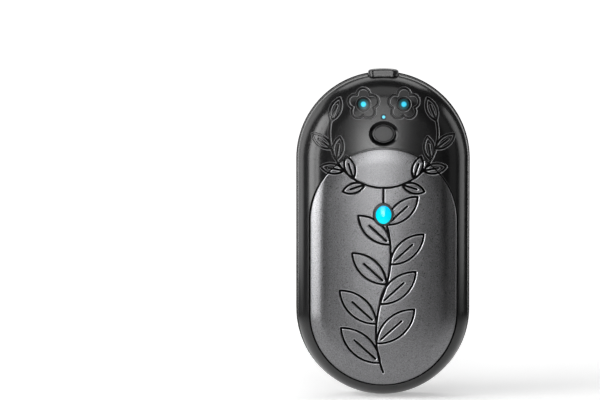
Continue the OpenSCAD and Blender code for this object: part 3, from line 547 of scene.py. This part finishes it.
def front_shell():
    """Front shell with the window for the plate, the wells of the lamps, the key's recess and the port's pocket"""
    shape = Shape()
    edge_w, edge_d, dip_w, dip_d = 0.22, 0.12, 0.45, 0.25
    window = stadium(PLATE_R + GAP, PLATE_ENDS)
    recess = oval(key_at, key_w, key_l, KEY_RING)
    holes = [circle(at, lamp_r + SLIP) for at in lamps] + [circle(dot_at, DOT_R + SLIP, 48)]

    def soft(t):
        return rounded(t, edge_w, edge_d)

    def dip(t):
        return rounded(t, dip_w, dip_d)

    def opened(x, z):
        """Places on the shell's upper end, given across and up, opened out flat"""
        angle = np.where(z > EDGE_Z, np.arccos(np.clip((z - EDGE_Z) / EDGE_R, -1, 1)), math.pi / 2)
        d = EDGE_X + EDGE_R * np.sin(angle)
        u = np.where(z > EDGE_Z, U_EDGE + EDGE_R * (angle - EDGE_ANGLE), U_SIDE + EDGE_Z - z)
        return np.stack([x / d * u, ARC_Y + np.sqrt(1 - (x / d) ** 2) * u], 1)

    pocket = tab_outline(cover_high[0] + AIR, cover_low[2] - SLIP, cover_high[2] + AIR, POCKET_CORNER, 0.35)
    pocket_flat = opened(-pocket[:, 0], pocket[:, 1])
    loops = [stadium(U_RIM), flat(window), flat(recess), *[flat(h) for h in holes], pocket_flat]
    edges = [(soft, Track([window], True)), (dip, Track([recess], True)),
             (well, Track(holes[:2], True)), (soft, Track(holes[2:], True))]
    well_rows = (0.2, *(WELL_FLOOR + k * WELL_WALL for k in (0, 0.33, 0.67, 1)))
    rows = [(window, (0.1, edge_w)), (recess, (0.12, 0.26, dip_w)), (holes[0], well_rows), (holes[1], well_rows),
            (holes[2], (0.1, edge_w))]
    skin(shape, loops, Track(wreath + blossoms), edges, rows_of=[(p, outward(p), ts) for p, ts in rows])

    # Window, ledge and the inside down to the seam
    ledge = stadium(PLATE_R - LEDGE_W, PLATE_ENDS)
    wall_of(shape, window, -edge_d, -LEDGE_DOWN)
    shape.loft(raised(window, -LEDGE_DOWN), raised(ledge, -LEDGE_DOWN))
    wall_of(shape, ledge, -LEDGE_DOWN, -WALL)
    inner_edge, rim = stadium(EDGE_X), stadium(FRONT_W - WALL)
    rings = [raised(ledge + t * (inner_edge - ledge), -WALL) for t in (0, 0.25, 0.5, 0.75, 1)]
    for angle in np.radians((20, 35, 50, 65, 78)):
        ring = stadium(EDGE_X + (EDGE_R - WALL) * math.sin(angle))
        rings.append(at_height(ring, EDGE_Z + (EDGE_R - WALL) * math.cos(angle)))
    shape.loft(*rings, at_height(rim, EDGE_Z), at_height(rim, SEAM - LIP_H))
    lip, seam = stadium(FRONT_W - WALL + LIP_T), stadium(FRONT_W - RIM)
    for inner, inner_z, outer, outer_z in (
            (rim, SEAM - LIP_H, lip, SEAM - LIP_H), (lip, SEAM - LIP_H, lip, SEAM),
            (lip, SEAM, seam, SEAM), (seam, SEAM, stadium(FRONT_W), SEAM + RIM)):
        shape.loft(at_height(inner, inner_z), at_height(outer, outer_z))

    # Recess of the key and holes of the lamps, their walls and floor painted dark as painted shade
    floor_z = float(height(key_at[1] - ARC_Y)) - KEY_DIP
    bore = oval(key_at, key_w, key_l, AIR)
    slope_end = oval(key_at, key_w, key_l, KEY_RING - RING_SLOPE)
    shape.loft(raised(recess, -dip_d), at_height(slope_end, floor_z), painted_shade=1)
    shape.loft(at_height(slope_end, floor_z), at_height(bore, floor_z), painted_shade=1)
    shape.loft(at_height(bore, floor_z), at_height(bore, floor_z - WALL / 2), painted_shade=1)
    for hole, top in zip(holes, (LINE_D, LINE_D, edge_d)):
        shape.loft(raised(hole, -top), raised(hole, -WALL), painted_shade=1)

    # Pocket: walls, floor and the mouth for the socket
    mouth = socket_outline(SOCKET_FIT, 0.4)
    points = np.concatenate([pocket, mouth])
    shape.loft(folded(pocket_flat)[0], at_end(pocket, pocket_y))
    shape.add(at_end(points, pocket_y), triangles(points, [pocket, mouth]))
    shape.loft(at_end(mouth, pocket_y), at_end(mouth, pocket_y - WALL))
    shape.piece("front_case", "housing", shell, "shell", "front_shell")


def plate_piece():
    """Plate with a bevel and a broad rounding at its edge and a hole for the oval lamp"""
    shape = Shape()
    bevel_w, bevel_d, roll_w, roll_d, hole_w, hole_d = 0.3, 0.12, 5.2, 0.28, 0.3, 0.18
    outline = stadium(PLATE_R, PLATE_ENDS)
    hole = oval(gem_at, gem_w, gem_l, GEM_RING + 2 * SLIP)
    under = PROUD - PLATE_T

    def bevel(t):
        (a, da), (b, db) = rounded(t, bevel_w, bevel_d), rounded(t, roll_w, roll_d)
        return a + b, da + db

    def hole_edge(t):
        return rounded(t, hole_w, hole_d)

    rows = [(outline, -outward(outline), (0.1, 0.2, bevel_w, 0.5, 0.8, 1.3, 2, 2.8, 3.6, 4.4, roll_w)),
            (hole, outward(hole), (0.1, 0.2, hole_w))]
    skin(shape, [flat(outline), flat(hole)], Track(stem + wreath),
         [(bevel, Track([outline], True, -1)), (hole_edge, Track([hole], True))], PROUD, rows)
    shape.loft(raised(outline, under), raised(outline, PROUD - bevel_d - roll_d))
    wall_of(shape, hole, PROUD - hole_d, under)
    points = np.concatenate([outline, hole])
    shape.add(raised(points, under), triangles(points, [outline, hole])[:, ::-1])
    shape.piece("plate", "housing", plate, "plate", "heating_plate")


def key_piece():
    """Key with a flange below and a rounded top that follows the front surface"""
    shape = Shape()
    edge_w, edge_d = 0.4, 0.3
    insets = (0, 0.06, 0.13, 0.21, 0.3, edge_w, 0.7, 1.1, 1.5, 1.8, 2.1, 2.4)
    flange_z = float(height(key_at[1] - ARC_Y + key_l / 2 + KEY_FLANGE, -WALL)) - AIR - KEY_FLANGE_T
    flange = oval(key_at, key_w, key_l, KEY_FLANGE)
    body = at_height(oval(key_at, key_w, key_l), flange_z + KEY_FLANGE_T)
    shape.cap(at_height(flange, flange_z)[::-1], (*key_at, flange_z))
    shape.loft(at_height(flange, flange_z), at_height(flange, flange_z + KEY_FLANGE_T))
    shape.loft(at_height(flange, flange_z + KEY_FLANGE_T), body)
    tops = [raised(oval(key_at, key_w, key_l, -t), KEY_TOP) - (0, 0, edge_d * max(1 - t / edge_w, 0) ** 2)
            for t in insets]
    shape.loft(body, *tops)
    shape.cap(tops[-1], (*key_at, float(height(key_at[1] - ARC_Y, KEY_TOP))))
    shape.piece("key_cap", "button", key, "key", "power_button")


def cover_piece():
    """Soft cover over the port: an arched cap with a nail groove round it, a hinge bead and a plug"""
    shape = Shape()
    corner, edge_w, edge_d = POCKET_CORNER - AIR, 0.9, 0.45
    half, low, high = cover_high[0], cover_low[2] + BEAD_R, cover_high[2]
    top_r, foot, tip = cover_high[1] - ARC_Y, pocket_y + SLIP, cover_low[1]
    groove_down, groove_w, groove_in = 1.45, 0.7, 0.45
    groove_high, groove_low = top_r - groove_down, top_r - groove_down - groove_w
    spacing, closest, taper = 0.45, 0.08, (0.97, 1)
    bead_count, bead_end, bead_end_size = 40, 0.2, 0.6

    def outline(grow):
        return tab_outline(half + grow, low - grow, high + grow, corner + grow, 0.2)

    def even(ring, count=200):
        """The same ring with a fixed number of points, evenly spaced"""
        closed = np.concatenate([ring, ring[:1]])
        length = np.concatenate([[0], np.cumsum(np.linalg.norm(np.diff(closed, axis=0), axis=1))])
        at = np.linspace(0, length[-1], count, endpoint=False)
        return np.stack([np.interp(at, length, closed[:, i]) for i in (0, 1)], 1)

    def on_arc(ring, r):
        """A ring bent to the shell's upper end, at the distance r from the middle of the end's arc"""
        return np.column_stack([-ring[:, 0], ARC_Y + np.sqrt(r ** 2 - ring[:, 0] ** 2), ring[:, 1]])

    # Arched cap with the nail groove
    full, necked = even(outline(0)), even(outline(-groove_in))
    track = Track([full], True)
    grid = spacing * np.stack(np.meshgrid(np.arange(-14, 15), np.arange(20, 45)), -1).reshape(-1, 2)
    rows = np.concatenate([even(outline(-t)) for t in (0.12, 0.27, 0.45, 0.66, edge_w)])
    points = thinned(full, [p[side_of(track, p) > margin] for p, margin in ((rows, 0.05), (grid, 1.1))], closest)
    drop = rounded(np.maximum(side_of(track, points), 0), edge_w, edge_d)[0]
    shape.add(on_arc(points, top_r) - np.column_stack([0 * drop, drop, 0 * drop]), triangles(points, [full]))
    shape.loft(on_arc(full, groove_high), on_arc(full, top_r) - (0, edge_d, 0))
    shape.loft(on_arc(necked, groove_high), on_arc(full, groove_high), painted_shade=1)
    shape.loft(on_arc(necked, groove_low), on_arc(necked, groove_high), painted_shade=1)
    shape.loft(on_arc(full, groove_low), on_arc(necked, groove_low), painted_shade=1)
    shape.loft(at_end(full, foot), on_arc(full, groove_low))

    # Plug
    plug = socket_outline(-SOCKET_FIT, 0.3)
    points = np.concatenate([full, plug])
    shape.add(at_end(points, foot), triangles(points, [full, plug])[:, ::-1])
    shape.loft(at_end(plug * taper, tip), at_end(plug, tip + SLIP), at_end(plug, foot))
    shape.cap(at_end(plug * taper, tip)[::-1], (0, tip, socket_z))

    # Hinge bead
    ring = circle((FRONT_W + BEAD_OUT + ARC_Y, low), BEAD_R, bead_count)
    beads = [np.column_stack([np.full(bead_count, x), (ring - ring.mean(0)) * k + ring.mean(0)])
             for x, k in ((-half, bead_end_size), (bead_end - half, 1), (half - bead_end, 1), (half, bead_end_size))]
    shape.loft(*beads[::-1])
    shape.cap(beads[0][::-1], beads[0].mean(0))
    shape.cap(beads[-1], beads[-1].mean(0))
    shape.piece("port_cap", "port_cover", finishes["cover"], "cover", "port_cover")


# Materials. WALL_SHARE is the depth, from 0 to 1, down to which an engraved line has the lighter colour of its cut
# walls, a painted highlight; deeper down it turns to a dark painted shade.
WALL_SHARE, LENS_GLOW = 0.40, 0.4
CORE_CYAN, DIM_TEAL = (0.06, 0.72, 1.0), (0.015, 0.055, 0.060)
GEM_LOWER, GEM_UPPER = (0.0, 0.92, 1.0), (0.0, 0.62, 1.0)
MASK_GREEN, TRACK_GREEN = (0.008, 0.070, 0.030), (0.014, 0.120, 0.050)
LAMP_FADE, DOT_FADE = (0.6, 1.1), (0.35, 0.65)


def shader(name):
    """New material with its node tree and its shader node"""
    material = bpy.data.materials.new(name)
    material.use_nodes = True
    tree = material.node_tree
    return material, tree, tree.nodes["Principled BSDF"]


def place_in(tree, kind="Object"):
    """Place of the shaded point"""
    return tree.nodes.new("ShaderNodeTexCoord").outputs[kind]


def maths(tree, operation, *sources, clamp=False):
    """Output of a math node that is fed by the sources"""
    n = tree.nodes.new("ShaderNodeMath")
    n.operation, n.use_clamp = operation, clamp
    for source, socket in zip(sources, n.inputs):
        tree.links.new(source, socket)
    return n.outputs[0]


def vector_maths(tree, operation, vector, other=(0, 0, 0)):
    """Outputs of a vector math node for a vector and, where the operation takes one, a constant"""
    n = tree.nodes.new("ShaderNodeVectorMath")
    n.operation = operation
    n.inputs[1].default_value = other
    tree.links.new(vector, n.inputs[0])
    return n.outputs


def parts_of(tree, vector):
    """The three coordinates of a vector"""
    n = tree.nodes.new("ShaderNodeSeparateXYZ")
    tree.links.new(vector, n.inputs[0])
    return n.outputs


def noise(tree, scale, detail=2.0):
    """Noise in the object's own coordinates"""
    n = tree.nodes.new("ShaderNodeTexNoise")
    n.inputs["Scale"].default_value = scale
    n.inputs["Detail"].default_value = detail
    tree.links.new(place_in(tree), n.inputs["Vector"])
    return n.outputs["Fac"]


def span(tree, source, low, high, start=0.3, end=0.7):
    """From low to high while the source goes from start to end"""
    r = tree.nodes.new("ShaderNodeMapRange")
    for key, value in (("From Min", start), ("From Max", end), ("To Min", low), ("To Max", high)):
        r.inputs[key].default_value = value
    tree.links.new(source, r.inputs["Value"])
    return r.outputs["Result"]


def blend(tree, source, dark, light, start=0.3, end=0.7):
    """From one colour to another while the source goes from start to end"""
    r = tree.nodes.new("ShaderNodeValToRGB")
    for element, position, color in zip(r.color_ramp.elements, (start, end), (dark, light)):
        element.position = position
        element.color = (*color, 1)
    tree.links.new(source, r.inputs["Fac"])
    return r.outputs["Color"]


def painted_groove_light(tree, color, wall, floor):
    """The colour, but lighter on the cut walls of the engraving as a painted highlight, and dark at its bottom and in
    recesses as painted shade
    """
    depth = tree.nodes.new("ShaderNodeAttribute")
    depth.attribute_name = "groove"
    cut = tree.nodes.new("ShaderNodeValToRGB")
    cut.color_ramp.elements.new(0.5)
    for element, position, shade in zip(cut.color_ramp.elements, (0.0, WALL_SHARE, 0.75), (wall, wall, floor)):
        element.position = position
        element.color = (*shade, 1)
    mix = tree.nodes.new("ShaderNodeMix")
    mix.data_type = "RGBA"
    tree.links.new(depth.outputs["Fac"], cut.inputs["Fac"])
    tree.links.new(span(tree, depth.outputs["Fac"], 0, 1, 0.03, 0.10), mix.inputs["Factor"])
    tree.links.new(color, mix.inputs["A"])
    tree.links.new(cut.outputs["Color"], mix.inputs["B"])
    return mix.outputs["Result"]


def finish(name, dark, light, rough=(0.3, 0.4), metal=0.0, grain=900, bump=0.1, depth=0.00002, engraving=None):
    """Finish with a fine grain in its colour, its roughness and its relief; engraving gives the colours of a painted
    highlight on cut walls and of painted shade at their bottom
    """
    material, tree, bsdf = shader(name)
    fine = noise(tree, grain)
    color = blend(tree, fine, dark, light)
    # Painted highlight on the cut walls and painted shade at the bottom of the engraving and in recesses
    if engraving:
        color = painted_groove_light(tree, color, *engraving)
    tree.links.new(color, bsdf.inputs["Base Color"])
    tree.links.new(span(tree, fine, *rough), bsdf.inputs["Roughness"])
    bsdf.inputs["Metallic"].default_value = metal
    if bump:
        b = tree.nodes.new("ShaderNodeBump")
        b.inputs["Strength"].default_value = bump
        b.inputs["Distance"].default_value = depth
        tree.links.new(fine, b.inputs["Height"])
        tree.links.new(b.outputs["Normal"], bsdf.inputs["Normal"])
    return material


def grey(value):
    """A slightly cool grey"""
    return (value, value, value * 1.03)


def lit(tree, bsdf, color, rough):
    """Makes a lens shine in its own colour"""
    tree.links.new(color, bsdf.inputs["Base Color"])
    tree.links.new(color, bsdf.inputs["Emission Color"])
    bsdf.inputs["Emission Strength"].default_value = LENS_GLOW
    bsdf.inputs["Roughness"].default_value = rough


def lamp_glow(name, centre, core_r, rim_r, core, rim):
    """Lens that is bright over its LED and fades to its rim. centre is in mm, across and up; the lamps are a pair."""
    material, tree, bsdf = shader(name)
    parts = parts_of(tree, place_in(tree))
    flat_at = tree.nodes.new("ShaderNodeCombineXYZ")
    tree.links.new(maths(tree, "ABSOLUTE", parts["X"]), flat_at.inputs["X"])
    tree.links.new(parts["Z"], flat_at.inputs["Z"])
    away = vector_maths(tree, "DISTANCE", flat_at.outputs[0], (centre[0] * MM, 0, centre[1] * MM))["Value"]
    lit(tree, bsdf, blend(tree, span(tree, away, 0, 1, core_r * MM, rim_r * MM), core, rim, 0, 1), 0.15)
    return material


def gem_glow(name, low, high, lower, upper):
    """Lens lit from behind, from one colour at its lower end to another at its upper end"""
    material, tree, bsdf = shader(name)
    up = parts_of(tree, place_in(tree))["Z"]
    lit(tree, bsdf, blend(tree, span(tree, up, 0, 1, low * MM, high * MM), lower, upper, 0, 1), 0.08)
    return material


def printed_board(name, dark, light):
    """Solder mask, lighter over the copper tracks under it"""
    material, tree, bsdf = shader(name)
    turned = tree.nodes.new("ShaderNodeMapping")
    turned.inputs["Rotation"].default_value = (math.radians(-90), 0, 0)
    tracks = tree.nodes.new("ShaderNodeTexBrick")
    for socket, value in (("Scale", 260), ("Mortar Size", 0.04), ("Mortar Smooth", 0.1), ("Brick Width", 0.9)):
        tracks.inputs[socket].default_value = value
    for socket, color in (("Color1", dark), ("Color2", dark), ("Mortar", light)):
        tracks.inputs[socket].default_value = (*color, 1)
    tree.links.new(place_in(tree), turned.inputs["Vector"])
    tree.links.new(turned.outputs["Vector"], tracks.inputs["Vector"])
    tree.links.new(tracks.outputs["Color"], bsdf.inputs["Base Color"])
    tree.links.new(span(tree, noise(tree, 900), 0.28, 0.36), bsdf.inputs["Roughness"])
    return material


# The last pair of colours of shell and plate: painted highlight on the engraving's cut walls, painted shade at its
# bottom and in recesses
shell = finish("shell_black", grey(0.008), grey(0.013), (0.18, 0.24), 0, 2500, 0.05,
               engraving=(grey(0.22), grey(0.002)))
plate = finish("plate_blasted", grey(0.155), grey(0.29), (0.27, 0.36), 1.0, 2900, 0.35, 0.00004,
               engraving=(grey(0.75), grey(0.006)))
key = finish("key_grey", grey(0.018), grey(0.026), (0.32, 0.38), 0, 2500, 0.05)

# Finishes of the CAD nodes by material slot: darkest and lightest colour, roughness, metal, grain and bump
FINISHES = {
    "cover": (grey(0.020), grey(0.028), (0.22, 0.28), 0, 2500, 0.05),
    "bezel": (grey(0.006), grey(0.010), (0.12, 0.18), 0, 2500, 0.05),
    "gasket": (grey(0.020), grey(0.040), (0.80, 0.90), 0, 1500, 0.40),
    "film": ((0.28, 0.10, 0.01), (0.42, 0.17, 0.02), (0.22, 0.30), 0, 700, 0.10),
    "felt": ((0.42, 0.40, 0.37), (0.62, 0.60, 0.56), (0.90, 1.00), 0, 1800, 0.70),
    "foam": (grey(0.035), grey(0.075), (0.85, 0.95), 0, 1100, 0.80),
    "cell": ((0.02, 0.10, 0.24), (0.03, 0.13, 0.30), (0.28, 0.36), 0, 300, 0.10),
    "nickel": (grey(0.45), grey(0.60), (0.25, 0.35), 1, 900, 0.20),
    "chip": (grey(0.010), grey(0.020), (0.50, 0.60), 0, 2500, 0.20),
    "switch": (grey(0.015), grey(0.025), (0.40, 0.50), 0, 2000, 0.10),
    "plunger": ((0.30, 0.04, 0.03), (0.38, 0.05, 0.04), (0.35, 0.45), 0, 2000, 0.10),
    "led": ((0.75, 0.68, 0.45), (0.85, 0.78, 0.55), (0.20, 0.30), 0, 2000, 0.10),
    "coil": (grey(0.05), grey(0.09), (0.45, 0.60), 0, 1500, 0.30),
    "ceramic": ((0.30, 0.20, 0.11), (0.38, 0.26, 0.15), (0.35, 0.45), 0, 1500, 0.10),
    "wire_red": ((0.45, 0.02, 0.02), (0.55, 0.03, 0.03), (0.35, 0.45), 0, 900, 0.10),
    "wire_black": (grey(0.015), grey(0.025), (0.35, 0.45), 0, 900, 0.10),
    "wire_amber": ((0.60, 0.25, 0.02), (0.70, 0.32, 0.03), (0.35, 0.45), 0, 900, 0.10),
    "wire_white": (grey(0.65), grey(0.78), (0.35, 0.45), 0, 900, 0.10),
    "wire_yellow": ((0.65, 0.50, 0.05), (0.75, 0.58, 0.07), (0.35, 0.45), 0, 900, 0.10),
    "socket": (grey(0.50), grey(0.62), (0.18, 0.28), 1, 1200, 0.10),
    "screw": (grey(0.40), grey(0.55), (0.28, 0.40), 1, 1800, 0.20),
}
finishes = {slot: finish(slot, *values) for slot, values in FINISHES.items()}
finishes.update(shell=shell, plate=plate, key=key)
finishes["board"] = printed_board("board", MASK_GREEN, TRACK_GREEN)
finishes["lamp"] = lamp_glow("lamp", np.abs(lamps[1]), *LAMP_FADE, CORE_CYAN, DIM_TEAL)
finishes["gem"] = gem_glow("gem", gem_at[1] - gem_l / 2, gem_at[1] + gem_l / 2, GEM_LOWER, GEM_UPPER)
for part in frame["record"]["subparts"]:
    materials = nodes[part["node"]].data.materials
    materials.clear()
    materials.append(finishes[part["material_slot"]])
nodes["center_lens"].data.materials[0] = lamp_glow("dot_lamp", dot_at, *DOT_FADE, CORE_CYAN, DIM_TEAL)

front_shell()
plate_piece()
key_piece()
cover_piece()

# White floor and backdrop. They show to the camera, and in gloss and glass only round and behind the object.
# BACKDROP says from where to where the direction from the object turns to behind it, SHEET how far the sheet
# under it fades out, and SHADE_POOL how far the floor's glow grows, both in metres. SHEET_DARK is the floor's colour
# in gloss and glass from under the object outwards, SHADE_POOL_GLOW how much the floor glows near and far. It
# glows less near the object, so the floor there is darker wherever the lamps light it less: painted shade.
BACKDROP = (0.88, 0.97)
SHEET, SHEET_DARK = (0.03, 0.20), (0.6, 0.03)
SHADE_POOL, SHADE_POOL_GLOW = (0.06, 0.55), (0.36, 1.1)
FLOOR_HALF, DIM_WORLD = 4.0, 0.02


def seen(tree, where):
    """1 to the camera, and to reflected and refracted rays as far as where says"""
    path = tree.nodes.new("ShaderNodeLightPath").outputs
    mirrored = maths(tree, "ADD", path["Is Glossy Ray"], path["Is Transmission Ray"])
    return maths(tree, "ADD", maths(tree, "MULTIPLY", mirrored, where), path["Is Camera Ray"], clamp=True)


def behind(tree, place):
    """1 behind the object and 0 elsewhere, by the direction of a place from it"""
    return span(tree, parts_of(tree, vector_maths(tree, "NORMALIZE", place)["Vector"])["Y"], 0, 1, *BACKDROP)


def mixed(tree, factor, first, second, output):
    """The first shader where the factor is 0 and the second where it is 1, as the tree's result"""
    mix = tree.nodes.new("ShaderNodeMixShader")
    tree.links.new(factor, mix.inputs["Fac"])
    tree.links.new(first, mix.inputs[1])
    tree.links.new(second, mix.inputs[2])
    tree.links.new(mix.outputs["Shader"], tree.nodes[output].inputs["Surface"])


low = -rear_high[1] * MM
mesh = bpy.data.meshes.new("floor")
mesh.from_pydata([(x * FLOOR_HALF, y * FLOOR_HALF, low) for x, y in ((-1, -1), (1, -1), (1, 1), (-1, 1))],
                 [], [(0, 1, 2, 3)])
floor = bpy.data.objects.new("floor", mesh)
scene.collection.objects.link(floor)
mesh.materials.append(finish("floor_white", (0.86, 0.86, 0.86), (0.9, 0.9, 0.9), (0.85, 0.95), 0, 3, 0))
tree = mesh.materials[0].node_tree
place = place_in(tree)
far = vector_maths(tree, "LENGTH", place)["Value"]
glow = tree.nodes.new("ShaderNodeEmission")
dark = tree.nodes.new("ShaderNodeBsdfDiffuse")
both = tree.nodes.new("ShaderNodeAddShader")
# The floor's glow is weaker near the object: painted shade that deepens its shadow
tree.links.new(span(tree, far, *SHADE_POOL_GLOW, *SHADE_POOL), glow.inputs["Strength"])
tree.links.new(span(tree, far, *SHEET_DARK, *SHEET), dark.inputs["Color"])
tree.links.new(tree.nodes["Principled BSDF"].outputs["BSDF"], both.inputs[0])
tree.links.new(glow.outputs["Emission"], both.inputs[1])
white_at = maths(tree, "MAXIMUM", span(tree, far, 1, 0, *SHEET), behind(tree, place))
mixed(tree, seen(tree, white_at), dark.outputs["BSDF"], both.outputs["Shader"], "Material Output")

world = bpy.data.worlds.new("world")
scene.world = world
world.use_nodes = True
tree = world.node_tree
dim = tree.nodes["Background"]
dim.inputs["Color"].default_value = (DIM_WORLD, DIM_WORLD, DIM_WORLD, 1)
white = tree.nodes.new("ShaderNodeBackground")
white.inputs["Color"].default_value = (1, 1, 1, 1)
mixed(tree, seen(tree, behind(tree, place_in(tree, "Generated"))),
      dim.outputs["Background"], white.outputs["Background"], "World Output")

# Softboxes, all aimed at the middle of the object: bearing counted from the camera's side round to the right and
# rise above the horizon in degrees, distance, width and height in metres, and radiance. Those beside the object
# stand near, so that its upright sides mirror them over their whole height.
SOFTBOXES = {
    "left_box": (-71, 6, 0.4, 0.15, 0.5, 6.3),
    "left_front": (-52, 6, 0.4, 0.085, 0.5, 5.5),
    "left_rim": (-120, 6, 0.4, 0.16, 0.5, 1.3),
    "left_back": (-141, 6, 0.4, 0.12, 0.5, 0.7),
    "front_key": (-2, 3, 0.75, 0.16, 0.15, 9.0),
    "front_tall": (-1, 14, 0.75, 0.20, 0.16, 3.4),
    "front_high": (-1, 32, 0.75, 0.20, 0.30, 2.5),
    "top_front": (0, 65, 0.9, 0.9, 0.5, 1.1),
    "top_back": (180, 55, 0.9, 0.9, 0.4, 1.7),
    "right_box": (104, 6, 0.4, 0.18, 0.5, 1.6),
    "right_front": (64, 6, 0.4, 0.18, 0.5, 0.25),
}
for name, (bearing, rise, far, wide, tall, radiance) in SOFTBOXES.items():
    data = bpy.data.lights.new(name, "AREA")
    data.shape = "RECTANGLE"
    data.size, data.size_y = wide, tall
    data.energy = radiance * math.pi * wide * tall
    light = bpy.data.objects.new(name, data)
    scene.collection.objects.link(light)
    a, b = math.radians(bearing), math.radians(rise)
    light.location = far * Vector((math.sin(a) * math.cos(b), -math.cos(a) * math.cos(b), math.sin(b)))
    light.rotation_euler = (-light.location).to_track_quat("-Z", "Y").to_euler()
